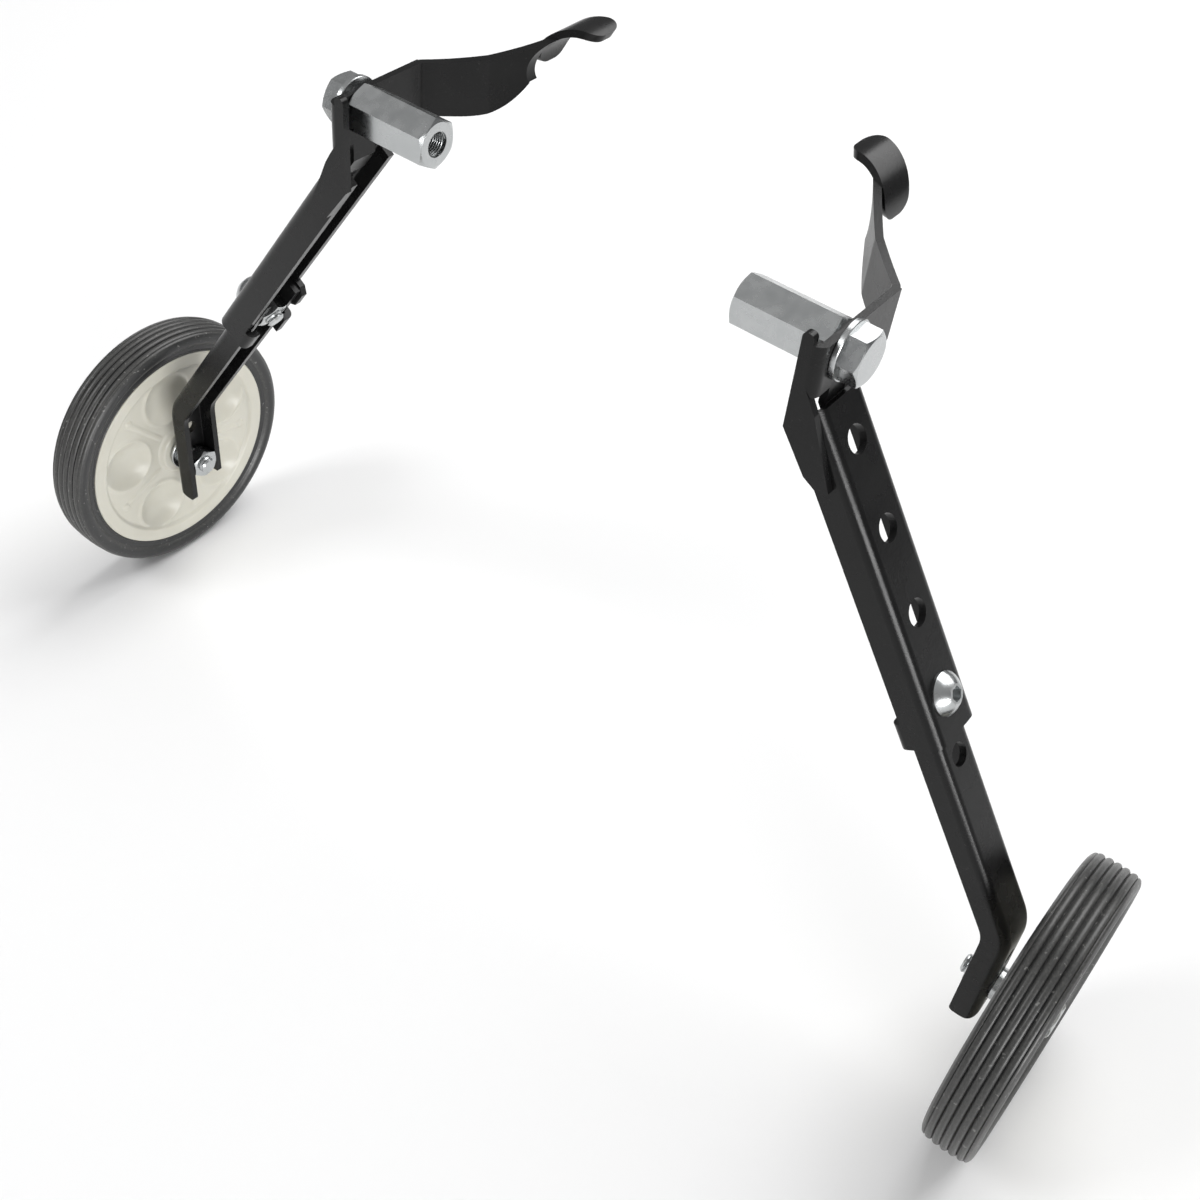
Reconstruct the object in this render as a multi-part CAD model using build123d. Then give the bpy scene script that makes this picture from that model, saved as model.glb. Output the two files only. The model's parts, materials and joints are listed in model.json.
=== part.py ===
"""Pair of adjustable training wheels for a child's bicycle.

Millimetres. Origin at the middle of the bicycle's rear axle, X to the
bicycle's right, Y forward, Z up. The right unit is built and then mirrored.
"""
import os
from math import cos, sin, sqrt, radians

from build123d import *

# Sheet steel and the lean of the arms
sheet = 2.8
splay = 34.2
bend_out = 4.0

# Axle plate of the head bracket, and its rear flange
plate_x = 103.2
plate_top = 7.0
plate_low = -12.0
plate_front = 31.0
plate_front_rake = 1.0
plate_front_mid = -12.0
plate_front_low = -22.0
plate_skirt = 3.3
flange_depth = 8.2
flange_top = 10.3
flange_round = 1.8
flange_low = -26.0
flange_tip_s = 47.0
flange_tip_n = -6.0
flange_tip_h = 4.0
flange_heel_s = 40.0
arm_set_in = 9.0
tongue_w = 11.0
tongue_end_s = 29.5

# Prong that runs forward and in to the chain stay, rising to its saddle
prong_root_y = 20.0
prong_knee_y = 30.5
prong_knee_r = 5.0
prong_mid_in = 19.2
prong_mid_y = 48.5
prong_mid_rise = 2.0
prong_end_in = 35.7
prong_end_y = 72.0
prong_end_rise = 10.5
prong_low = -14.0
prong_throat_y = 61.0
prong_throat_z = -1.0
saddle_r = 14.0
saddle_in = 42.7
saddle_y = 77.5
saddle_z = 3.0
saddle_w = 16.5
saddle_from = 1.0
saddle_to = 113.0
saddle_skew = 11.0
saddle_corner = 6.0

# Upper arm, a channel open towards the bicycle
upper_rear_depth = 13.3
upper_front_depth = 9.5
upper_top_s = 20.2
upper_foot = 16.0
hole_first_s = 35.5
hole_pitch = 32.4
hole_count = 4
upper_hole_d = 10.0

# Ears at the foot of the upper arm, and the tab above the front ear
ear_len = 10.5
ear_reach = 5.6
ear_gap = 0.6
ear_round = 3.1
tab_above_bolt = 15.0
tab_len = 14.0
tab_depth = 15.5
tab_corner = 3.0

# Lower arm, a smaller channel that nests in the upper one and takes the nuts inside
nut_room = 0.3
nest_side_gap = 0.25
nest_web_gap = 0.15
lower_depth = 10.6
lower_overlap = 14.0
lower_slope = 105.9
lower_hole_d = 9.0
lower_hole_step = 25.6
lower_bend_r = 24.0
lower_bend_out = 3.5
lower_bend_in = 0.4
axle_below_bend = 34.9
rear_foot = 18.8
web_rear_foot = 13.0
web_front_foot = 9.0
foot_round = 2.0
foot_turn = 6.0
spare_hole_d = 6.5
spare_hole_up = 18.5

# Wheel
tyre_r = 63.5
tyre_w = 20.0
tyre_section = 13.5
bead_step = 2.5
tyre_seat_half = 8.0
groove_depth = 1.9
rib_half_widths = (1.0, 1.0)
groove_w = 1.3
rim_face = 9.3
rim_w = 7.0
disc_face = 7.6
boss_r = 12.5
boss_half = 10.4
cup_r = 10.4
cup_floor = 2.6
cup_face = 9.0
dimple_count = 5
dimple_turn = 25.0
dimple_shift = 2.8
dimple_rib = 12.6
dimple_depth = 4.8
post_r = 1.8
post_h = 0.8
post_inset = 5.5

# Sleeve and axle bolt of the wheel
sleeve_r = 6.2
sleeve_half = 10.9
run_gap = 0.08
end_play = 0.4
m8_r = 4.0
m8_hex = 13.0
m8_nut_h = 6.5
m8_head_h = 5.4
m8_hole_gap = 0.3
thread_depth = 0.45
thread_pitch = 1.25
wheel_washer_r = 9.0
wheel_washer_t = 1.6
spacer_r = 6.8
spacer_len = 2.6
lock_r = 6.5
lock_t = 2.0
lock_slit = 1.0
bolt_stub = 2.6

# Button head bolt that pins the two arms
dome_r = 8.0
dome_h = 5.2
socket_af = 5.0
socket_depth = 2.8

# Extension nut and axle bolt at the bicycle's axle
nut_inner_x = 65.0
nut_hex = 17.0
axle_thread_r = 4.76
axle_thread_len = 18.0
m10_r = 5.0
m10_gap = 0.1
plate_hole_gap = 0.3
m10_head_h = 7.0
m10_washer_r = 10.5
m10_washer_t = 2.0
m10_shank_in = 16.0

sin_a = sin(radians(splay))
cos_a = cos(radians(splay))
web_x0 = plate_x - arm_set_in
flange_edge_x = plate_x - flange_depth
bolt_s = hole_first_s + hole_pitch * (hole_count - 1)
upper_end_s = bolt_s + upper_foot
lower_w = m8_hex + 2 * nut_room + 2 * sheet
upper_w = lower_w + 2 * nest_side_gap + 2 * sheet
lower_n = -(sheet + nest_web_gap)
lower_top_s = bolt_s - lower_overlap
ear_in_n = lower_n - lower_depth - ear_gap
tyre_seat_r = tyre_r - tyre_section
tyre_lip_r = tyre_seat_r + bead_step
rim_inner_r = tyre_lip_r - rim_w
dimple_at_r = (boss_r + rim_inner_r) / 2 + dimple_shift
dimple_r = dimple_at_r * sin(radians(180 / dimple_count)) - dimple_rib / 2
post_at_r = rim_inner_r - post_inset
sleeve_out = cup_floor + sleeve_half - boss_half


def arm_point(s, n):
    """X and Z at distance s down the arm and n out from its outer face."""
    return (web_x0 + s * sin_a + n * cos_a, -s * cos_a + n * sin_a)


# The lower arm's bend sets where the wheel stands
end_x, bend_z = arm_point(bolt_s + lower_slope, lower_n)
axle_z = bend_z - axle_below_bend
wheel_x = end_x + spacer_len + wheel_washer_t + end_play + sleeve_half


def slab_xz(points, y0, y1):
    """Plate with an X-Z outline, from y0 to y1."""
    face = make_face(Polyline(*points, close=True))
    plane = Plane(origin=(0, y0, 0), x_dir=(1, 0, 0), z_dir=(0, -1, 0))
    return extrude(plane * face, amount=-(y1 - y0))


def slab_yz(points, x0, x1):
    """Plate with a Y-Z outline, from x0 to x1."""
    face = make_face(Polyline(*points, close=True))
    plane = Plane(origin=(x0, 0, 0), x_dir=(0, 1, 0), z_dir=(1, 0, 0))
    return extrude(plane * face, amount=x1 - x0)


def turned(points):
    """Body of revolution about X from points given as (x, radius)."""
    return revolve(make_face(Polyline(*points, close=True)), Axis.X, 360)


def hex_bar(across_flats, x0, x1, chamfer_low, chamfer_high):
    """Hexagon bar along X with turned-down corners on the chosen ends."""
    plane = Plane(origin=(x0, 0, 0), x_dir=(0, 1, 0), z_dir=(1, 0, 0))
    hexagon = RegularPolygon(across_flats / 2, 6, major_radius=False, rotation=30)
    body = extrude(plane * hexagon, amount=x1 - x0)
    big = across_flats * 0.62
    face_r = across_flats * 0.475
    drop = (big - face_r) * 0.55
    left = (x0 + drop, big) if chamfer_low else (x0, big)
    right = (x1 - drop, big) if chamfer_high else (x1, big)
    outline = [(x0, 0), (x0, face_r if chamfer_low else big), left, right]
    outline += [(x1, face_r if chamfer_high else big), (x1, 0)]
    keep = [p for i, p in enumerate(outline) if i == 0 or p != outline[i - 1]]
    return body & turned(keep)


def bore(radius, x0, x1):
    """Round tool along X for cutting a hole."""
    return turned([(x0, 0), (x0, radius), (x1, radius), (x1, 0)])


def ring(r_out, r_in, x0, x1, edge=0.25):
    """Washer or sleeve along X with broken outer edges."""
    return turned([(x0, r_in), (x0, r_out - edge), (x0 + edge, r_out),
                   (x1 - edge, r_out), (x1, r_out - edge), (x1, r_in)])


def threaded_end(radius, x_tip, x_root, inwards):
    """Outline points of a rod end with a few turned thread grooves."""
    points = [(x_tip, 0), (x_tip, radius - 0.8), (x_tip + 0.8 * inwards, radius)]
    x = x_tip + 1.2 * inwards
    while abs(x - x_tip) + thread_pitch < abs(x_root - x_tip):
        points += [(x, radius), (x + 0.5 * thread_pitch * inwards, radius - thread_depth)]
        x += thread_pitch * inwards
    points += [(x, radius)]
    return points


def on_arm(body, s, n=0.0):
    """Put a body made along X square to the arm's outer face."""
    x, z = arm_point(s, n)
    return Location((x, 0, z), (0, -splay, 0)) * body


def at_wheel(body):
    """Put a body made about the X axis on the wheel's axle line."""
    return Pos(0, 0, axle_z) * body


def channel_section(width, rear, front, out_r):
    """Rounded U section in (y, n): web at n = 0, flanges towards -n."""
    h = width / 2
    pts = [(-h, -rear), (-h, 0), (h, 0), (h, -front), (h - sheet, -front), (h - sheet, -sheet),
           (-h + sheet, -sheet), (-h + sheet, -rear)]
    face = make_face(Polyline(*pts, close=True))
    outer = [v for v in face.vertices() if abs(v.Y) < 1e-6]
    face = fillet(outer, out_r)
    inner = [v for v in face.vertices() if abs(v.Y + sheet) < 1e-6 and abs(v.X) < h - sheet + 1e-6]
    return fillet(inner, out_r - sheet)


def along_arm(face, s0, s1):
    """Sweep a section given in (y, n) straight down the arm."""
    x, z = arm_point(s0, 0)
    plane = Plane(origin=(x, 0, z), x_dir=(0, 1, 0), z_dir=(sin_a, 0, -cos_a))
    return extrude(plane * face, amount=s1 - s0)


def ear(side, depth):
    """Hooked ear at the foot of a flange; side is -1 for the rear flange."""
    h = upper_w / 2
    low = ear_in_n - sheet
    pts = [(-h, -depth + 1.5), (-h + sheet, -depth + 1.5), (-h + sheet, ear_in_n),
           (-h + ear_reach, ear_in_n), (-h + ear_reach, low), (-h, low)]
    face = make_face(Polyline(*[(-side * y, n) for y, n in pts], close=True))
    corner = [v for v in face.vertices() if abs(v.Y - low) < 1e-6 and abs(abs(v.X) - h) < 1e-6]
    face = fillet(corner, ear_round)
    return along_arm(face, upper_end_s - ear_len, upper_end_s)


def make_upper_arm():
    section = channel_section(upper_w, upper_rear_depth, upper_front_depth, bend_out)
    body = along_arm(section, upper_top_s, upper_end_s)
    body += ear(-1, upper_rear_depth)
    body += ear(1, upper_front_depth)
    s0 = bolt_s - tab_above_bolt
    s1 = s0 + tab_len
    root = sheet - upper_front_depth
    tab = [arm_point(s0, root), arm_point(s0, tab_corner - tab_depth),
           arm_point(s0 + tab_corner, -tab_depth), arm_point(s1 - tab_corner, -tab_depth),
           arm_point(s1, tab_corner - tab_depth), arm_point(s1, root)]
    body += slab_xz(tab, upper_w / 2 - sheet, upper_w / 2)
    for i in range(hole_count):
        body -= on_arm(bore(upper_hole_d / 2, -2 * sheet, sheet), hole_first_s + i * hole_pitch)
    return body


def lower_outline(inset, depth, end):
    """Side outline of the lower arm, inset from its outer face."""
    x_end = end_x - inset
    s_bend = (x_end - web_x0 - (lower_n - inset) * cos_a) / sin_a
    top = arm_point(lower_top_s, lower_n - inset)
    turn = arm_point(s_bend, lower_n - inset)
    deep_x = end_x - depth
    s_deep = (deep_x - web_x0 - (lower_n - depth) * cos_a) / sin_a
    turn_in = arm_point(s_deep, lower_n - depth)
    top_in = arm_point(lower_top_s, lower_n - depth)
    foot_z = axle_z - end
    outer = FilletPolyline(top, turn, (x_end, foot_z), radius=lower_bend_r - inset)
    inner = FilletPolyline((deep_x, foot_z), turn_in, top_in, radius=max(lower_bend_r - depth, sheet))
    close_low = Line((x_end, foot_z), (deep_x, foot_z))
    close_top = Line(top_in, top)
    return make_face([*outer.edges(), close_low, *inner.edges(), close_top])


def make_lower_arm():
    plane = Plane(origin=(0, 0, 0), x_dir=(1, 0, 0), z_dir=(0, -1, 0))
    h = lower_w / 2
    block = extrude(plane * lower_outline(0, lower_depth, rear_foot), amount=h, both=True)

    def crease(solid, half, inset):
        found = []
        for e in solid.edges():
            c = e.position_at(0.5)
            if abs(abs(c.Y) - half) > 1e-4:
                continue
            n_off = (c.X - web_x0) * cos_a + c.Z * sin_a
            on_slope = abs(n_off - lower_n + inset) < 1e-3
            on_end = abs(c.X - end_x + inset) < 1e-3
            on_turn = e.geom_type == GeomType.CIRCLE and abs(e.radius - lower_bend_r + inset) < 1e-3
            if on_slope or on_end or on_turn:
                found.append(e)
        return found

    block = fillet(crease(block, h, 0), lower_bend_out)
    core_face = lower_outline(sheet, lower_depth + 2 * sheet, rear_foot + 2 * sheet)
    core = extrude(plane * core_face, amount=h - sheet, both=True)
    core = fillet(crease(core, h - sheet, sheet), lower_bend_in)
    shift = arm_point(-2 * sheet, 0)
    core += Pos(shift[0] - web_x0, 0, shift[1]) * core
    body = block - core
    # Slanting foot: the rear flange is the long one
    rear_y = -h + sheet + lower_bend_in
    below = axle_z - rear_foot - sheet
    front_z = axle_z - web_front_foot
    foot = [(rear_y, below), (rear_y, axle_z - web_rear_foot), (h - sheet, front_z),
            (h + sheet, front_z), (h + sheet, below)]
    body -= slab_yz(foot, end_x - lower_depth - sheet, end_x + sheet)
    for s in (bolt_s, bolt_s + lower_hole_step):
        body -= on_arm(bore(lower_hole_d / 2, -3 * sheet, 0), s)
    body -= Pos(0, 0, axle_z) * bore(m8_r + m8_hole_gap, end_x - 2 * sheet, end_x + sheet)
    body -= Pos(0, 0, axle_z + spare_hole_up) * bore(spare_hole_d / 2, end_x - 2 * sheet, end_x + sheet)
    # Rounded foot of the rear flange, with a large round on its outer side
    foot_z = axle_z - rear_foot
    corner = [e for e in body.edges() if abs(e.position_at(0.5).Z - foot_z) < 0.01
              and abs(e.position_at(0.5).X - end_x + lower_depth) < 0.01]
    body = fillet(corner, foot_round)
    turn_x = end_x - foot_turn
    turn_z = foot_z + foot_turn
    low_x = end_x + sheet
    low_z = foot_z - sheet
    waste = slab_xz([(turn_x, turn_z), (turn_x, low_z), (low_x, low_z), (low_x, turn_z)], -h - sheet, 0)
    across = Plane(origin=(turn_x, -h / 2, turn_z), x_dir=(1, 0, 0), z_dir=(0, 1, 0))
    return body - (waste - across * Cylinder(foot_turn, 2 * lower_w))


def stay_rod(radius):
    """Round rod where the bicycle's chain stay runs under the saddle."""
    along = Plane(origin=(plate_x - saddle_in, saddle_y, saddle_z), x_dir=(1, 0, 0), z_dir=(0, 1, 0))
    return along * Cylinder(radius, 4 * saddle_w)


def make_prong():
    """Strip that leaves the axle plate, turns in and climbs to the saddle."""
    mid_sheet = plate_x - sheet / 2
    knee = (mid_sheet, prong_knee_y)
    mid = (plate_x - prong_mid_in, prong_mid_y)
    end = (plate_x - prong_end_in, prong_end_y)
    line = FilletPolyline((mid_sheet, prong_root_y), knee, mid, end, radius=prong_knee_r)
    tall = plate_top + 2 * prong_end_rise - prong_low
    strip = Pos(0, 0, prong_low) * extrude(trace(line, sheet), amount=tall)
    far_y = prong_end_y + sheet
    far_z = plate_top + prong_end_rise
    near_y = prong_root_y - sheet
    belly_y = (prong_knee_y + prong_mid_y) / 2
    top = Spline((prong_knee_y, plate_top), (prong_mid_y, plate_top + prong_mid_rise), (far_y, far_z),
                 tangents=((1, 0), (1, 0.5)))
    low = Spline((belly_y, prong_low), (prong_throat_y, prong_throat_z), tangents=((1, 0), (1, 1.5)))
    front = Polyline((far_y, far_z), (far_y, prong_throat_z), (prong_throat_y, prong_throat_z))
    back = Polyline((belly_y, prong_low), (near_y, prong_low), (near_y, plate_top), (prong_knee_y, plate_top))
    side = Plane(origin=(0, 0, 0), x_dir=(0, 1, 0), z_dir=(1, 0, 0))
    outline = make_face([top, *front.edges(), low, *back.edges()])
    strip &= extrude(side * outline, amount=plate_x + sheet)
    return strip - stay_rod(saddle_r)


def make_saddle():
    """Oval pad bent round the upper outer side of the chain stay, leaning forward as it climbs."""
    stay_x = plate_x - saddle_in
    outer_r = saddle_r + sheet
    middle = radians((saddle_from + saddle_to) / 2)
    fan = [(stay_x, saddle_z)]
    for degrees in (saddle_from, (saddle_from + saddle_to) / 2, saddle_to):
        a = radians(degrees)
        fan.append((stay_x + 2 * outer_r * cos(a), saddle_z + 2 * outer_r * sin(a)))
    pad = slab_xz(fan, saddle_y - 2 * saddle_w, saddle_y + 2 * saddle_w)
    pad &= stay_rod(outer_r) - stay_rod(saddle_r)
    # Slanting sides, square to the middle of the pad
    w = saddle_w / 2
    lean = saddle_skew / 2 / sin(radians((saddle_to - saddle_from) / 2))
    sides = make_face(Polyline((-w - lean, -outer_r), (w - lean, -outer_r), (w + lean, outer_r),
                               (lean - w, outer_r), close=True))
    facing = Plane(origin=(stay_x, saddle_y, saddle_z), x_dir=(0, 1, 0), z_dir=(cos(middle), 0, sin(middle)))
    pad &= extrude(facing * sides, amount=2 * outer_r)
    corners = [e for e in pad.edges() if e.geom_type == GeomType.LINE and abs(e.tangent_at(0.5).Y) < 0.7]
    return fillet(corners, saddle_corner)


def make_head_bracket():
    h = upper_w / 2 + sheet
    x_in = plate_x - sheet
    bend = make_face(Polyline((flange_edge_x, -h), (plate_x, -h), (plate_x, h), (x_in, h),
                              (x_in, -h + sheet), (flange_edge_x, -h + sheet), close=True))
    bend = fillet([v for v in bend.vertices() if abs(v.X - plate_x) < 1e-6 and v.Y < 0], bend_out)
    bend = fillet([v for v in bend.vertices() if abs(v.X - x_in) < 1e-6 and v.Y < 0], bend_out - sheet)
    body = Pos(0, 0, plate_low) * extrude(bend, amount=plate_top - plate_low)
    # Front of the plate, with a skirt beside the arm
    skirt = h - sheet
    body += slab_yz([(skirt, plate_top), (plate_front, plate_top),
                     (plate_front - plate_front_rake, plate_front_mid),
                     (skirt + plate_skirt, plate_front_low), (skirt, plate_front_low)], x_in, plate_x)
    # Rear flange: a round hump above the plate, a taper down the arm below it
    hump = slab_xz([(flange_edge_x, plate_low), (flange_edge_x, flange_top), (plate_x - bend_out, flange_top),
                    (plate_x - bend_out, plate_low)], -h, -h + sheet)
    hump = fillet([e for e in hump.edges() if abs(e.position_at(0.5).Z - flange_top) < 1e-3
                   and abs(e.position_at(0.5).Y + h - sheet / 2) < 1e-3], flange_round)
    body += hump
    body += slab_xz([(flange_edge_x, flange_low), (flange_edge_x, plate_low + bend_out),
                     (plate_x - bend_out, plate_low + bend_out), (plate_x - bend_out / 3, plate_low),
                     arm_point(upper_top_s, -bend_out / 5), arm_point(flange_tip_s, flange_tip_n),
                     arm_point(flange_tip_s, flange_tip_n - flange_tip_h),
                     arm_point(flange_heel_s, -upper_rear_depth)], -h, -h + sheet)
    # Tongue that dips under the web of the upper arm
    n_out = -sheet
    z_turn = -(plate_x - web_x0 - n_out / cos_a) * cos_a / sin_a
    z_turn_in = -(x_in - web_x0 - (n_out - sheet) / cos_a) * cos_a / sin_a
    body += slab_xz([(plate_x, plate_low + sheet), (plate_x, z_turn), arm_point(tongue_end_s, n_out),
                     arm_point(tongue_end_s, n_out - sheet), (x_in, z_turn_in), (x_in, plate_low + sheet)],
                    -tongue_w / 2, tongue_w / 2)
    body += make_prong()
    body += make_saddle()
    body -= bore(m10_r + plate_hole_gap, x_in - sheet, plate_x + sheet)
    return body


def make_extension_nut():
    body = hex_bar(nut_hex, nut_inner_x, plate_x - sheet, True, True)
    body -= bore(axle_thread_r, nut_inner_x - 1, nut_inner_x + axle_thread_len)
    return body - bore(m10_r, nut_inner_x + axle_thread_len - 0.01, plate_x)


def make_axle_bolt():
    x0 = plate_x + m10_washer_t
    head = Rot(30, 0, 0) * hex_bar(nut_hex, x0, x0 + m10_head_h, False, True)
    tip = plate_x - sheet - m10_shank_in
    r = m10_r - m10_gap
    return head + turned([(tip, 0), (tip, r - 1), (tip + 1, r), (x0 + 0.5, r), (x0 + 0.5, 0)])


def make_arm_bolt():
    """Domed head with a hexagon socket, shank along -X from the arm face."""
    sphere_r = (dome_r * dome_r + dome_h * dome_h) / (2 * dome_h)
    flat_r = socket_af * 0.72
    x_flat = sqrt(sphere_r ** 2 - flat_r ** 2) - (sphere_r - dome_h)
    mid_r = (dome_r + flat_r) / 2
    x_mid = sqrt(sphere_r ** 2 - mid_r ** 2) - (sphere_r - dome_h)
    tip = -(2 * sheet + nest_web_gap + lock_t + m8_nut_h + bolt_stub)
    rod = threaded_end(m8_r, tip, tip + bolt_stub + 0.6, 1)
    line = Polyline(*rod, (0, m8_r), (0, dome_r), (0.5, dome_r))
    arc = ThreePointArc((0.5, dome_r), (x_mid, mid_r), (x_flat, flat_r))
    rest = Polyline((x_flat, flat_r), (x_flat, 0), (tip, 0))
    body = revolve(make_face([*line.edges(), arc, *rest.edges()]), Axis.X, 360)
    plane = Plane(origin=(x_flat + 0.1, 0, 0), x_dir=(0, 1, 0), z_dir=(-1, 0, 0))
    socket = extrude(plane * RegularPolygon(socket_af / 2, 6, major_radius=False), amount=socket_depth)
    return body - socket


def make_lock_washer(x0, x1, r_in):
    """Split spring washer."""
    body = ring(lock_r, r_in, x0, x1, 0.2)
    slit = slab_yz([(-lock_slit / 2, r_in - 1), (lock_slit / 2, r_in - 1),
                    (lock_slit / 2, lock_r + 1), (-lock_slit / 2, lock_r + 1)], x0 - 1, x1 + 1)
    return body - slit


def make_nut(x0, x1):
    """Plain M8 hexagon nut along X."""
    return hex_bar(m8_hex, x0, x1, True, True) - bore(m8_r + 0.02, x0 - 1, x1 + 1)


def make_tyre():
    """Ribbed tread, smooth sides and a bead that locks on the hub."""
    half = tyre_w / 2
    centre, mid = rib_half_widths
    starts = [centre, centre + groove_w + 2 * mid]
    right = [(starts[0] - 0.35, tyre_r)]
    for x in starts:
        right += [(x, tyre_r - 0.35), (x + 0.35, tyre_r - groove_depth),
                  (x + groove_w - 0.35, tyre_r - groove_depth), (x + groove_w, tyre_r - 0.5),
                  (x + groove_w + 0.4, tyre_r - 0.1)]
        if x == starts[0]:
            right += [(x + groove_w + 2 * mid - 0.4, tyre_r - 0.1)]
    right += [(half - 2.2, tyre_r - 0.5), (half - 0.7, tyre_r - 1.7), (half, tyre_r - 3.6),
              (half, tyre_lip_r + 0.6), (half - 0.5, tyre_lip_r), (tyre_seat_half, tyre_lip_r),
              (tyre_seat_half, tyre_seat_r)]
    left = [(-x, r) for x, r in reversed(right)]
    return at_wheel(Pos(wheel_x, 0, 0) * turned(left + right))


def make_hub():
    """Moulded hub: rim, disc with dished pockets, a boss towards the arm and a cup for the bolt head."""
    disc = [(disc_face + 0.6, boss_r + 0.7), (disc_face, boss_r + 1.6), (disc_face, rim_inner_r - 1.4),
            (disc_face + 0.5, rim_inner_r - 0.4), (rim_face - 0.5, rim_inner_r + 0.6),
            (rim_face, rim_inner_r + 1.3), (rim_face, tyre_lip_r - 0.5), (rim_face - 0.5, tyre_lip_r),
            (tyre_seat_half, tyre_lip_r), (tyre_seat_half, tyre_seat_r)]
    boss = [(boss_half, sleeve_r), (boss_half, boss_r - 0.8), (boss_half - 0.8, boss_r)]
    cup = [(cup_floor, sleeve_r), (cup_floor, cup_r), (cup_face, cup_r), (cup_face, boss_r - 0.8),
           (cup_face - 0.8, boss_r)]
    body = turned(cup + disc + [(-x, r) for x, r in reversed(boss + disc)])
    ball = (dimple_r ** 2 + dimple_depth ** 2) / (2 * dimple_depth)
    floor = disc_face - dimple_depth
    flat = dimple_r / 4
    mid_r = (dimple_r + flat) / 2
    low_x = floor + ball - sqrt(ball ** 2 - flat ** 2)
    mid_x = floor + ball - sqrt(ball ** 2 - mid_r ** 2)
    dish = ThreePointArc((low_x, flat), (mid_x, mid_r), (disc_face, dimple_r))
    above = disc_face + dimple_depth
    rest = Polyline((disc_face, dimple_r), (above, dimple_r), (above, 0), (low_x, 0), (low_x, flat))
    pocket = revolve(make_face([dish, *rest.edges()]), Axis.X, 360)
    step = 360 / dimple_count
    tool = Pos(0, dimple_at_r, 0) * pocket
    for i in range(dimple_count):
        turn = Rot(dimple_turn + step * i, 0, 0)
        body -= turn * tool
        body -= turn * mirror(tool, about=Plane.YZ)
    # Small posts on the ribs between the pockets
    tip = disc_face + post_h
    post = Pos(0, post_at_r, 0) * ring(post_r, 0, -tip, tip)
    for i in range(dimple_count):
        body += Rot(dimple_turn + step * (i + 0.5), 0, 0) * post
    return at_wheel(Pos(wheel_x, 0, 0) * body)


def make_wheel_bolt():
    x0 = wheel_x + sleeve_out + end_play + wheel_washer_t
    head = hex_bar(m8_hex, x0, x0 + m8_head_h, False, True)
    tip = end_x - sheet - lock_t - m8_nut_h - bolt_stub
    rod = threaded_end(m8_r, tip, tip + bolt_stub + 0.6, 1)
    return at_wheel(head + turned(rod + [(x0 + 0.5, m8_r), (x0 + 0.5, 0)]))


def right_unit():
    """All pieces of the right unit by name."""
    out_x = wheel_x + sleeve_out + end_play
    in_x = wheel_x - sleeve_half - end_play
    under = -(2 * sheet + nest_web_gap)
    back = end_x - sheet
    clear = m8_r + m8_hole_gap
    return {
        "head_bracket": make_head_bracket(),
        "upper_arm": make_upper_arm(),
        "lower_arm": make_lower_arm(),
        "extension_nut": make_extension_nut(),
        "axle_bolt": make_axle_bolt(),
        "axle_washer": ring(m10_washer_r, m10_r + plate_hole_gap, plate_x, plate_x + m10_washer_t),
        "arm_bolt": on_arm(make_arm_bolt(), bolt_s),
        "arm_lock_washer": on_arm(make_lock_washer(under - lock_t, under, clear), bolt_s),
        "arm_nut": on_arm(make_nut(under - lock_t - m8_nut_h, under - lock_t), bolt_s),
        "tyre": make_tyre(),
        "wheel_hub": make_hub(),
        "hub_sleeve": at_wheel(ring(sleeve_r, m8_r + run_gap, in_x + end_play, out_x - end_play)),
        "wheel_bolt": make_wheel_bolt(),
        "wheel_outer_washer": at_wheel(ring(wheel_washer_r, clear, out_x, out_x + wheel_washer_t)),
        "wheel_inner_washer": at_wheel(ring(wheel_washer_r, clear, in_x - wheel_washer_t, in_x)),
        "wheel_spacer": at_wheel(ring(spacer_r, clear, end_x, end_x + spacer_len)),
        "wheel_lock_washer": at_wheel(make_lock_washer(back - lock_t, back, clear)),
        "wheel_nut": at_wheel(make_nut(back - lock_t - m8_nut_h, back - lock_t)),
    }


os.makedirs("parts", exist_ok=True)
for name, body in right_unit().items():
    export_step(body, f"parts/right_{name}.step")
    export_step(mirror(body, about=Plane.YZ), f"parts/left_{name}.step")
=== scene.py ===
import json
from math import cos, exp, pi, radians, sin, sqrt

import bpy
from mathutils import Matrix, Vector


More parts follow.
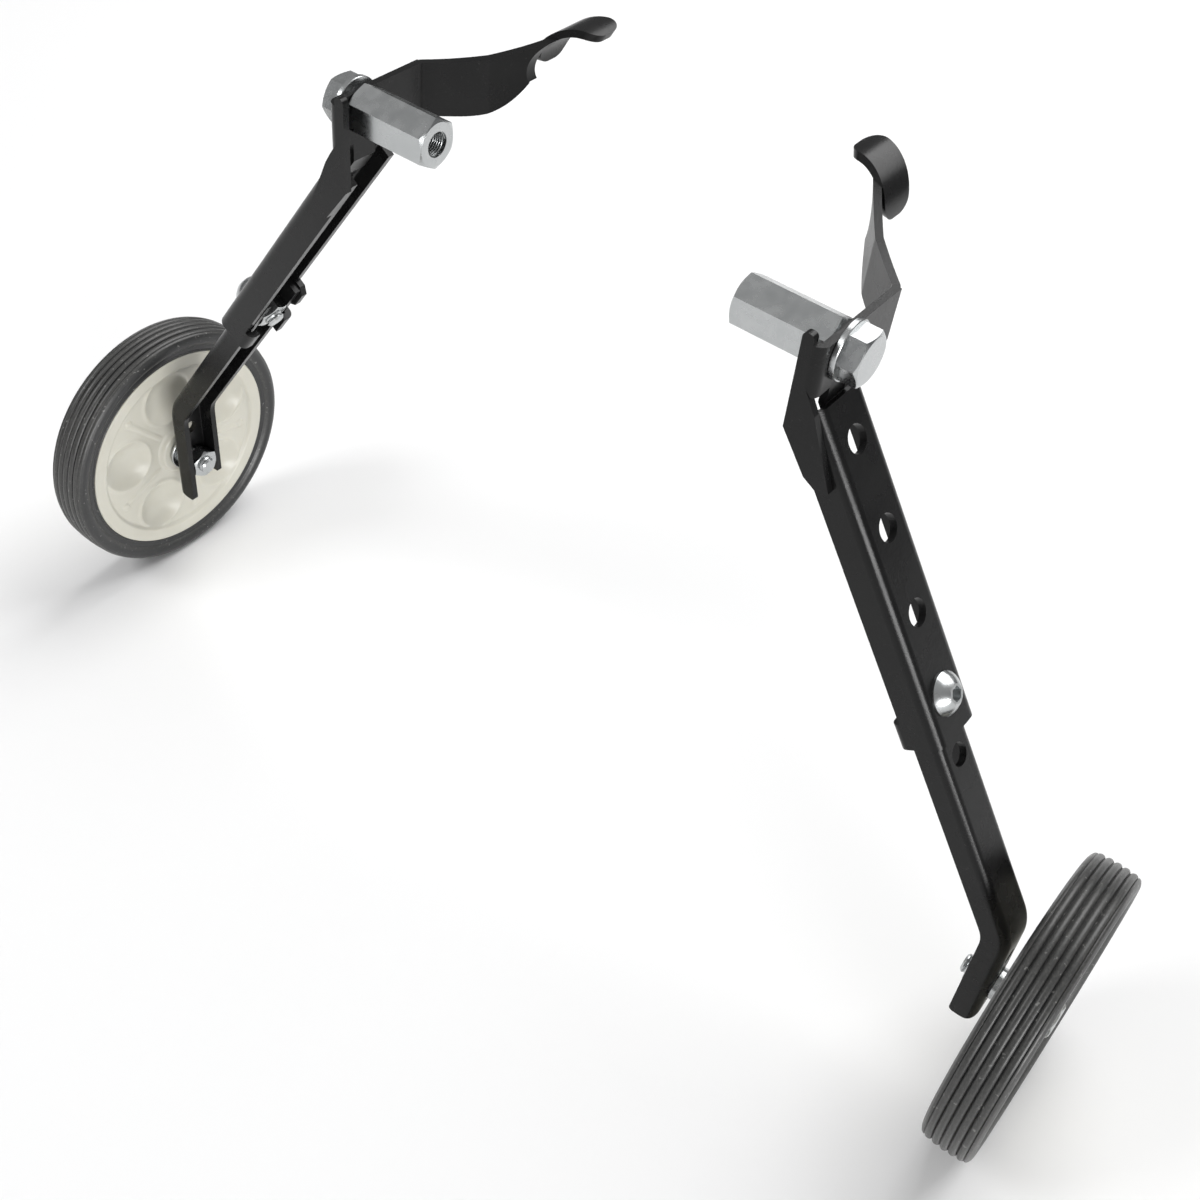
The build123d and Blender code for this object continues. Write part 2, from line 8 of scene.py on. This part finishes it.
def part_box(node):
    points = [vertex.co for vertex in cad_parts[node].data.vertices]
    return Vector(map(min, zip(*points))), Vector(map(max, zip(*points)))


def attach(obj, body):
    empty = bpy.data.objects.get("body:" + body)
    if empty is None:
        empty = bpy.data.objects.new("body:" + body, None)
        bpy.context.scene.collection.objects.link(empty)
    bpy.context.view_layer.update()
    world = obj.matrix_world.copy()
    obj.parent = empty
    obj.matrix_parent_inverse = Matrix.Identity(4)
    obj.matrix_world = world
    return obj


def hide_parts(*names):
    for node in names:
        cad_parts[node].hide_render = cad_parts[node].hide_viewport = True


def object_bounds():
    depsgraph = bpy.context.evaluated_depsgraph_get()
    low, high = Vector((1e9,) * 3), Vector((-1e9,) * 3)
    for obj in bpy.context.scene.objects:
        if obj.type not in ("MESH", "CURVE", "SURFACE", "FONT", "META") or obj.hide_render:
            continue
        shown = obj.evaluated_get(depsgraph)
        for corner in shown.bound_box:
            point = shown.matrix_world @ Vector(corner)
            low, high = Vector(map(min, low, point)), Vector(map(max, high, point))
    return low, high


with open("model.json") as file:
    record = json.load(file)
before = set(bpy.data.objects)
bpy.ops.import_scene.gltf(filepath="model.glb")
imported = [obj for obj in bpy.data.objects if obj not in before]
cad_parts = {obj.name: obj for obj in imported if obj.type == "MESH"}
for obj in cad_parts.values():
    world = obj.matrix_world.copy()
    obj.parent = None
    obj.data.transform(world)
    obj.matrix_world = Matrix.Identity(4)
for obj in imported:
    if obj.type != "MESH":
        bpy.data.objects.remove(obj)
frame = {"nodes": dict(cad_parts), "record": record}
cad_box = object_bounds()
nodes = frame["nodes"]
mm = 0.001
sides = {"right": 1, "left": -1}

# Tyre, in millimetres and degrees
tyre_r = 63.5
tyre_half = 10.0
tyre_lip_r = 52.5
tyre_seat_r = 50.0
tyre_seat_half = 8.0
tyre_steps = 288
rib_count = 5
rib_pitch = 3.4
rib_depth = 1.45
rib_crown = 0.4
rib_arc = 75.0
rib_steps = 16
shoulder_r = 1.6
shoulder_drop = 1.0
shoulder_arc = (84, 20)
shoulder_steps = 8
bulge_r = 4.0
bulge_at_r = 59.2
bulge_out = 0.6
bulge_arc = (25, -50)
bulge_steps = 14
ring_half = 8.7
ring_outer_r = 55.7
ring_edge = 0.4
lip_round = 0.5
lip_edge = 1.3
lip_in = 0.2
lip_arc = (90, -90)
lip_steps = 10

# Hub, in millimetres and degrees
rim_face = 9.3
rim_set_in = 1.3
rim_inner_r = 45.5
rim_blend_in = 0.8
# Inset and drop of the last rows at the rim's edge
rim_rounding = ((0.5, 0.0), (0.12, 0.15), (0.0, 0.5))
disc_face = 7.6
boss_r = 12.5
boss_half = 10.4
boss_blend_out = 0.9
face_blend = 1.8
cup_r = 10.4
cup_mid_r = 8.0
cup_floor = 2.6
cup_face = 8.4
cup_edge = 0.15
# Rows on either side of the cup's wall
cup_wall_rows = (-0.2, -0.01, 0.01, 0.2)
sleeve_r = 6.2
dish_count = 5
dish_turn = 25.0
dish_at_r = 31.8
dish_r = 12.4
dish_depth = 4.8
dish_blend = 0.9
dish_margin = 2.0
dish_lip = 0.6
dish_lip_out = 1.0
dish_lip_w = 1.2
ridge_h = 0.5
ridge_half = 0.5
ridge_blend = 1.3
ridge_gap = 1.0
ridge_fade = 3.0
post_at_r = 40.0
post_r = 1.8
post_h = 0.8
post_blend = 0.5
post_blend_in = 0.3
hub_steps = 360
hub_row_step = 0.5
hub_row_end = 1.0

# Thread in the extension nuts, in millimetres
thread_r = 4.76
thread_crest_r = 4.25
thread_sunk = 0.05
thread_start = 1.0
thread_len = 17.0
thread_pitch = 1.0
thread_flank = 0.42
thread_steps = 40

# Broken edges of the CAD nodes, in millimetres and degrees
sheet_edge = 0.45
other_edge = 0.2
edge_segments = 2
edge_angle = 38

# Tones, as linear red, green and blue; a pair runs from dark to light
coat_tones = ((0.0040, 0.0040, 0.0042), (0.0070, 0.0070, 0.0070))
coat_dust = (0.050, 0.050, 0.048)
zinc_tones = ((0.40, 0.415, 0.42), (0.54, 0.55, 0.55))
rubber_tones = ((0.024, 0.024, 0.0240), (0.050, 0.050, 0.0475))
rubber_dust = (0.080, 0.079, 0.074)
# Darker rubber laid on faces that look along the axle: the sides and the sunk ring
rubber_side_dark = (0.014, 0.0145, 0.0155)
rubber_speck = (0.22, 0.22, 0.21)
hub_tones = ((0.46, 0.447, 0.383), (0.55, 0.538, 0.477))
steel_tones = ((0.38, 0.38, 0.38), (0.52, 0.52, 0.51))
room_tones = ((0.13, 0.13, 0.134), (0.50, 0.50, 0.50))
floor_tone = (0.86, 0.86, 0.86, 1.0)

# Part of a noise's range in which its clouds show
cloud_span = (0.3, 0.7)

# Floor, in metres
floor_half = 12.0
floor_gap = 0.0005
floor_rough = 0.9

# Camera, in metres and degrees; lens and sensor in millimetres
camera_at = (0.2620, -0.3652, 0.2726)
camera_towards = (0.0506, -0.0394, -0.1168)
camera_roll = 7.0
camera_near = 0.01
camera_lens = 46.1
sensor = 36.0


def fill(tree, made, **values):
    """Sets a node's sockets or properties by name; a value that is a socket is linked."""
    for name, value in values.items():
        socket = made.inputs.get(name.replace("_", " "))
        if socket is None:
            setattr(made, name, value)
        elif isinstance(value, bpy.types.NodeSocket):
            tree.links.new(value, socket)
        else:
            socket.default_value = value
    return made


def node(tree, kind, **values):
    """Adds a shader node and fills it."""
    return fill(tree, tree.nodes.new(kind), **values)


def noise(tree, place, scale, detail, rough=0.55):
    made = node(tree, "ShaderNodeTexNoise", Vector=place, Scale=scale, Detail=detail,
                Roughness=rough)
    return made.outputs["Fac"]


def spread(tree, value, span, to):
    """Maps a value from one range to another."""
    made = node(tree, "ShaderNodeMapRange", Value=value, From_Min=span[0], From_Max=span[1],
                To_Min=to[0], To_Max=to[1])
    return made.outputs["Result"]


def mixed(tree, factor, a, b):
    """Colour a where the factor is 0 and b where it is 1; either may be a socket."""
    made = node(tree, "ShaderNodeMix", data_type="RGBA", Factor=factor)
    pair = [s for s in made.inputs if s.type == "RGBA"]
    for socket, colour in zip(pair, (a, b)):
        if isinstance(colour, tuple):
            socket.default_value = (*colour, 1.0)
        else:
            tree.links.new(colour, socket)
    return [s for s in made.outputs if s.type == "RGBA"][0]


def bump(tree, height, distance, strength, **under):
    """Normal of a bumped surface; Normal names the bump that lies under it."""
    made = node(tree, "ShaderNodeBump", Height=height, Distance=distance, Strength=strength,
                **under)
    return made.outputs["Normal"]


def material(name):
    """A new material with its node tree, its shader and its object coordinates."""
    made = bpy.data.materials.new(name)
    made.use_nodes = True
    tree = made.node_tree
    shader = tree.nodes["Principled BSDF"]
    place = node(tree, "ShaderNodeTexCoord").outputs["Object"]
    return made, tree, shader, place


def black_coat():
    """Semi-gloss black powder coat with a fine orange peel and a little dust."""
    made, tree, shader, place = material("black_coat")
    cloud = noise(tree, place, scale=55.0, detail=4.0)
    grit = noise(tree, place, scale=700.0, detail=2.0)
    fine = noise(tree, place, scale=1300.0, detail=2.0)
    wave = noise(tree, place, scale=240.0, detail=2.0)
    speck = spread(tree, grit, span=(0.68, 0.76), to=(0.0, 0.30))
    peel = bump(tree, fine, distance=0.00005, strength=0.5)
    fill(tree, shader,
         Base_Color=mixed(tree, speck, mixed(tree, cloud, *coat_tones), coat_dust),
         Specular_IOR_Level=0.23,
         Roughness=spread(tree, cloud, cloud_span, to=(0.23, 0.31)),
         Normal=bump(tree, wave, distance=0.00010, strength=0.25, Normal=peel))
    return made


def zinc_plate():
    """Bright zinc plating: softly clouded, finely scratched, a little dull in patches."""
    made, tree, shader, place = material("zinc_plate")
    cloud = noise(tree, place, scale=170.0, detail=3.0, rough=0.5)
    stretch = node(tree, "ShaderNodeMapping", Vector=place, Scale=(1.0, 12.0, 2.0))
    scratch = noise(tree, stretch.outputs["Vector"], scale=700.0, detail=4.0, rough=0.7)
    fill(tree, shader,
         Metallic=1.0,
         Base_Color=mixed(tree, cloud, *zinc_tones),
         Roughness=spread(tree, cloud, cloud_span, to=(0.22, 0.31)),
         Normal=bump(tree, scratch, distance=0.00003, strength=0.3))
    return made


def tyre_rubber():
    """Moulded black rubber with a dusty bloom and pale specks, darker where its faces look along
    the axle.
    """
    made, tree, shader, place = material("tyre_rubber")
    cloud = noise(tree, place, scale=70.0, detail=6.0, rough=0.65)
    bloom = noise(tree, place, scale=900.0, detail=3.0, rough=0.7)
    grit = noise(tree, place, scale=520.0, detail=2.0)
    fine = noise(tree, place, scale=2200.0, detail=3.0)
    wave = noise(tree, place, scale=330.0, detail=3.0)
    facing = node(tree, "ShaderNodeSeparateXYZ", Vector=place.node.outputs["Normal"])
    across = node(tree, "ShaderNodeMath", operation="ABSOLUTE", Value=facing.outputs["X"])
    dust = spread(tree, bloom, span=(0.48, 0.72), to=(0.0, 0.65))
    # Darker rubber where the face looks along the axle, set by the face's direction alone
    side_dark = spread(tree, across.outputs["Value"], span=(0.75, 0.95), to=(0.0, 0.75))
    speck = spread(tree, grit, span=(0.675, 0.715), to=(0.0, 0.7))
    tone = mixed(tree, cloud, *rubber_tones)
    for factor, colour in ((dust, rubber_dust), (side_dark, rubber_side_dark), (speck, rubber_speck)):
        tone = mixed(tree, factor, tone, colour)
    grain = bump(tree, fine, distance=0.00006, strength=0.5)
    fill(tree, shader,
         Base_Color=tone,
         Roughness=spread(tree, cloud, cloud_span, to=(0.30, 0.44)),
         Normal=bump(tree, wave, distance=0.00012, strength=0.3, Normal=grain))
    return made


def hub_plastic():
    """Milky off-white moulding, a little translucent and waxy."""
    made, tree, shader, place = material("hub_plastic")
    cloud = noise(tree, place, scale=45.0, detail=4.0)
    wax = noise(tree, place, scale=320.0, detail=3.0)
    wave = noise(tree, place, scale=160.0, detail=3.0)
    fill(tree, shader,
         Base_Color=mixed(tree, cloud, *hub_tones),
         Subsurface_Weight=0.30,
         Subsurface_Radius=(1.0, 0.9, 0.7),
         Subsurface_Scale=0.003,
         Roughness=spread(tree, wax, cloud_span, to=(0.32, 0.42)),
         Normal=bump(tree, wave, distance=0.00010, strength=0.25))
    return made


def sleeve_steel():
    """Plain steel tube, clouded and finely grained."""
    made, tree, shader, place = material("sleeve_steel")
    cloud = noise(tree, place, scale=400.0, detail=4.0)
    fine = noise(tree, place, scale=1800.0, detail=2.0)
    fill(tree, shader,
         Metallic=1.0,
         Base_Color=mixed(tree, cloud, *steel_tones),
         Roughness=spread(tree, cloud, cloud_span, to=(0.30, 0.45)),
         Normal=bump(tree, fine, distance=0.00003, strength=0.4))
    return made


finishes = {
    "black_coat": black_coat(),
    "zinc_plate": zinc_plate(),
    "tyre_rubber": tyre_rubber(),
    "hub_plastic": hub_plastic(),
    "sleeve_steel": sleeve_steel(),
}


def middle(name):
    """Middle of a node's box, in metres."""
    low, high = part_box(name)
    return (Vector(low) + Vector(high)) / 2


def placed(name, data):
    """A new object in the scene."""
    made = bpy.data.objects.new(name, data)
    bpy.context.scene.collection.objects.link(made)
    return made


def mesh_piece(name, verts, faces, finish, body):
    """A smooth mesh object that rides on a body."""
    mesh = bpy.data.meshes.new(name)
    mesh.from_pydata(verts, [], faces)
    mesh.polygons.foreach_set("use_smooth", [True] * len(mesh.polygons))
    mesh.update()
    mesh.materials.append(finishes[finish])
    made = placed(name, mesh)
    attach(made, body)
    return made


def tube_faces(rows, count, closed):
    """Quads between rows of count points each; a closed tube joins its last row to its first."""
    faces = []
    for i in range(rows if closed else rows - 1):
        j = (i + 1) % rows
        for k in range(count):
            n = (k + 1) % count
            faces.append((i * count + k, i * count + n, j * count + n, j * count + k))
    return faces


def turned_over(faces, out):
    """Gives both units the same sense of faces, fronts inward: reversed where out is 1."""
    return [tuple(reversed(f)) for f in faces] if out > 0 else faces


def arc(cx, cr, r, angles, steps):
    """Points of an arc in the (x, radius) plane, angles in degrees."""
    a0, a1 = angles
    out = []
    for i in range(steps + 1):
        a = radians(a0 + (a1 - a0) * i / steps)
        out.append((cx + r * cos(a), cr + r * sin(a)))
    return out


def tyre_profile():
    """Closed outline of the tyre as (x, radius).

    Round ribs lie side by side between round shoulders; the sides bulge and end in a sunk ring.
    """
    bead_r = ((rib_pitch / 2) ** 2 + rib_depth ** 2) / (2 * rib_depth)
    last = rib_pitch * (rib_count - 1) / 2
    tread = []
    for i in range(rib_count):
        x = rib_pitch * i - last
        r = tyre_r - rib_crown * (x / last) ** 2
        tread += arc(x, r - bead_r, bead_r, (90 + rib_arc, 90 - rib_arc), rib_steps)
    side = arc(tyre_half - shoulder_r, tyre_r - shoulder_drop - shoulder_r, shoulder_r,
               shoulder_arc, shoulder_steps)
    side += arc(tyre_half + bulge_out - bulge_r, bulge_at_r, bulge_r, bulge_arc, bulge_steps)
    side += [(ring_half, r) for r in (ring_outer_r, ring_outer_r - ring_edge,
                                      tyre_lip_r + lip_edge)]
    side += arc(ring_half - lip_in, tyre_lip_r + lip_round, lip_round, lip_arc, lip_steps)
    side += [(tyre_seat_half, tyre_lip_r), (tyre_seat_half, tyre_seat_r)]
    return [(-x, r) for x, r in reversed(side)] + tread + side


def lathe(points, centre, steps):
    """Verts and faces of a closed outline turned about X through the centre."""
    verts = []
    for i in range(steps):
        a = 2 * pi * i / steps
        for x, r in points:
            verts.append((centre.x + x * mm, centre.y + r * mm * sin(a),
                          centre.z + r * mm * cos(a)))
    return verts, tube_faces(steps, len(points), True)


def smooth_min(a, b, k):
    """Smaller of two heights with a round blend of size k."""
    h = max(k - abs(a - b), 0.0) / k
    return min(a, b) - h * h * k / 4


def smooth_step(t):
    """Soft rise from 0 to 1 as t does the same."""
    t = min(max(t, 0.0), 1.0)
    return t * t * (3 - 2 * t)


def reach(r, off, at_r):
    """Distance from a point at (r, off) to one at radius at_r on the line where off is 0."""
    return sqrt(max(r * r + at_r * at_r - 2 * r * at_r * cos(off), 0.0))


def hub_height(r, angle, cupped):
    """Height of a hub face above the middle plane; the cupped face takes the bolt head."""
    slant = cup_edge if abs(r - cup_r) < cup_edge / 2 else 0.0
    if cupped and r < cup_r:
        return cup_floor + slant
    top = cup_face - slant if cupped else boss_half
    rim = rim_face - rim_set_in if cupped else rim_face
    to_rim = smooth_step((r - rim_inner_r + rim_blend_in) / face_blend)
    base = disc_face + (rim - disc_face) * to_rim
    base += (top - disc_face) * smooth_step((boss_r + boss_blend_out - r) / face_blend)
    step = 2 * pi / dish_count
    turn = (angle - radians(dish_turn)) % step
    to_dish = reach(r, min(turn, step - turn), dish_at_r)
    base += dish_lip * exp(-((to_dish - dish_r - dish_lip_out) / dish_lip_w) ** 2)
    # A ridge and a post halfway between two dishes
    rib_off = turn - step / 2
    along = smooth_step((r - boss_r - ridge_gap) / ridge_fade)
    along *= smooth_step((post_at_r - r) / ridge_fade)
    beside = smooth_step((abs(r * sin(rib_off)) - ridge_half) / ridge_blend)
    base += ridge_h * along * (1 - beside)
    to_post = reach(r, rib_off, post_at_r)
    base += post_h * (1 - smooth_step((to_post - post_r + post_blend_in) / post_blend))
    if to_dish < dish_r + dish_margin:
        ball = (dish_r ** 2 + dish_depth ** 2) / (2 * dish_depth)
        dish = disc_face - dish_depth + ball - sqrt(max(ball ** 2 - to_dish ** 2, 0.0))
        base = smooth_min(base, dish, dish_blend)
    return base


def hub_mesh(centre, out):
    """Two moulded faces on a polar grid, closed at the bore and at the rim.

    The cupped face looks along X where out is 1, and against it where out is -1.
    """
    radii = [sleeve_r, cup_mid_r] + [cup_r + d for d in cup_wall_rows]
    while radii[-1] < tyre_lip_r - hub_row_end:
        radii.append(radii[-1] + hub_row_step)
    rows = [(r, 0.0) for r in radii]
    rows += [(tyre_lip_r - inset, drop) for inset, drop in rim_rounding]
    verts = []
    for i in range(hub_steps):
        a = 2 * pi * i / hub_steps
        ring = [(hub_height(r, a, True) - drop, r) for r, drop in rows]
        ring += [(drop - hub_height(r, a, False), r) for r, drop in reversed(rows)]
        for x, r in ring:
            verts.append((centre.x + out * x * mm, centre.y + r * mm * cos(a),
                          centre.z + r * mm * sin(a)))
    return verts, turned_over(tube_faces(hub_steps, 2 * len(rows), True), out)


def dress_wheel(side, out):
    """Ribbed tyre and dished hub in place of a wheel's plainer solids."""
    centre = middle(f"{side}_tyre")
    body = f"{side}_wheel"
    turned = lathe(tyre_profile(), centre, tyre_steps)
    tyre = mesh_piece(f"{side}_ribbed_tyre", *turned, "tyre_rubber", body)
    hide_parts(f"{side}_tyre")
    hub = mesh_piece(f"{side}_dished_hub", *hub_mesh(centre, out), "hub_plastic", body)
    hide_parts(f"{side}_wheel_hub")


def nut_thread(side, out):
    """Thread turns inside the open end of an extension nut."""
    low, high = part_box(f"{side}_extension_nut")
    start = low[0] if out > 0 else high[0]
    rows = int(thread_len / thread_pitch * thread_steps)
    half = thread_flank * thread_pitch
    root_r = thread_r + thread_sunk
    section = ((-half, root_r), (0.0, thread_crest_r), (half, root_r))
    verts = []
    for i in range(rows):
        a = 2 * pi * i / thread_steps
        x = thread_start + thread_pitch * i / thread_steps
        for dx, r in section:
            verts.append((start + out * (x + dx) * mm, r * mm * cos(a), r * mm * sin(a)))
    last = len(section) * (rows - 1)
    faces = tube_faces(rows, len(section), False) + [(0, 2, 1), (last, last + 1, last + 2)]
    mesh_piece(f"{side}_nut_thread", verts, turned_over(faces, out), "zinc_plate", "brackets")


def dress_nodes():
    """Gives every node its finish and breaks its sharp edges."""
    for part in frame["record"]["subparts"]:
        made = nodes[part["node"]]
        made.data.materials.clear()
        made.data.materials.append(finishes[part["material_slot"]])
        made.data.polygons.foreach_set("use_smooth", [True] * len(made.data.polygons))
        edge = made.modifiers.new("edge", "BEVEL")
        edge.width = (sheet_edge if part["material_slot"] == "black_coat" else other_edge) * mm
        edge.segments = edge_segments
        edge.limit_method = "ANGLE"
        edge.angle_limit = radians(edge_angle)
        edge.harden_normals = True


def surround():
    """A grey room, lighter overhead, so that metal has something to mirror."""
    scene = bpy.context.scene
    scene.view_settings.view_transform = "Standard"
    scene.world = bpy.data.worlds.new("surround")
    scene.world.use_nodes = True
    tree = scene.world.node_tree
    place = node(tree, "ShaderNodeTexCoord").outputs["Generated"]
    split = node(tree, "ShaderNodeSeparateXYZ", Vector=place)
    height = spread(tree, split.outputs["Z"], span=(0.0, 1.0), to=(0.0, 1.0))
    fill(tree, tree.nodes["Background"], Color=mixed(tree, height, *room_tones))


def floor():
    """A wide pale floor just under the wheels."""
    ground = cad_box[0][2] - floor_gap
    corners = ((-1, -1), (1, -1), (1, 1), (-1, 1))
    mesh = bpy.data.meshes.new("floor")
    mesh.from_pydata([(x * floor_half, y * floor_half, ground) for x, y in corners], [],
                     [(0, 1, 2, 3)])
    made = placed("floor", mesh)
    paint, tree, shader, _ = material("floor")
    fill(tree, shader, Base_Color=floor_tone, Roughness=floor_rough)
    mesh.materials.append(paint)


def lamps():
    """A wide softbox in front, a key from behind on the left, and a far box on the right.

    The far box stands low and edges the folds. Sizes are in metres and powers in watts.
    """
    aim = Vector((0.0, 0.0, -0.1))
    for name, at, width, height, power in (
        ("front", (0.2, 1.5, 1.9), 2.2, 2.2, 62.0),
        ("key", (-1.0, -1.2, 1.3), 0.7, 0.7, 13.0),
        ("side", (6.2, -3.2, 0.42), 4.2, 1.7, 400.0),
    ):
        data = bpy.data.lights.new(name, "AREA")
        data.shape = "RECTANGLE"
        data.size = width
        data.size_y = height
        data.energy = power
        lamp = placed(name, data)
        lamp.location = at
        lamp.rotation_euler = (aim - Vector(at)).to_track_quat("-Z", "Y").to_euler()


def camera():
    """The photo's own view, from behind on the right and above."""
    data = bpy.data.cameras.new("camera")
    data.lens = camera_lens
    data.sensor_width = sensor
    data.clip_start = camera_near
    made = placed("camera", data)
    forward = (Vector(camera_towards) - Vector(camera_at)).normalized()
    level = forward.cross(Vector((0, 0, 1))).normalized()
    right = Matrix.Rotation(radians(-camera_roll), 3, forward) @ level
    up = right.cross(forward)
    turn = Matrix((right, up, -forward)).transposed().to_4x4()
    made.matrix_world = Matrix.Translation(camera_at) @ turn
    bpy.context.scene.camera = made


for side, out in sides.items():
    dress_wheel(side, out)
    nut_thread(side, out)
dress_nodes()
surround()
floor()
lamps()
camera()
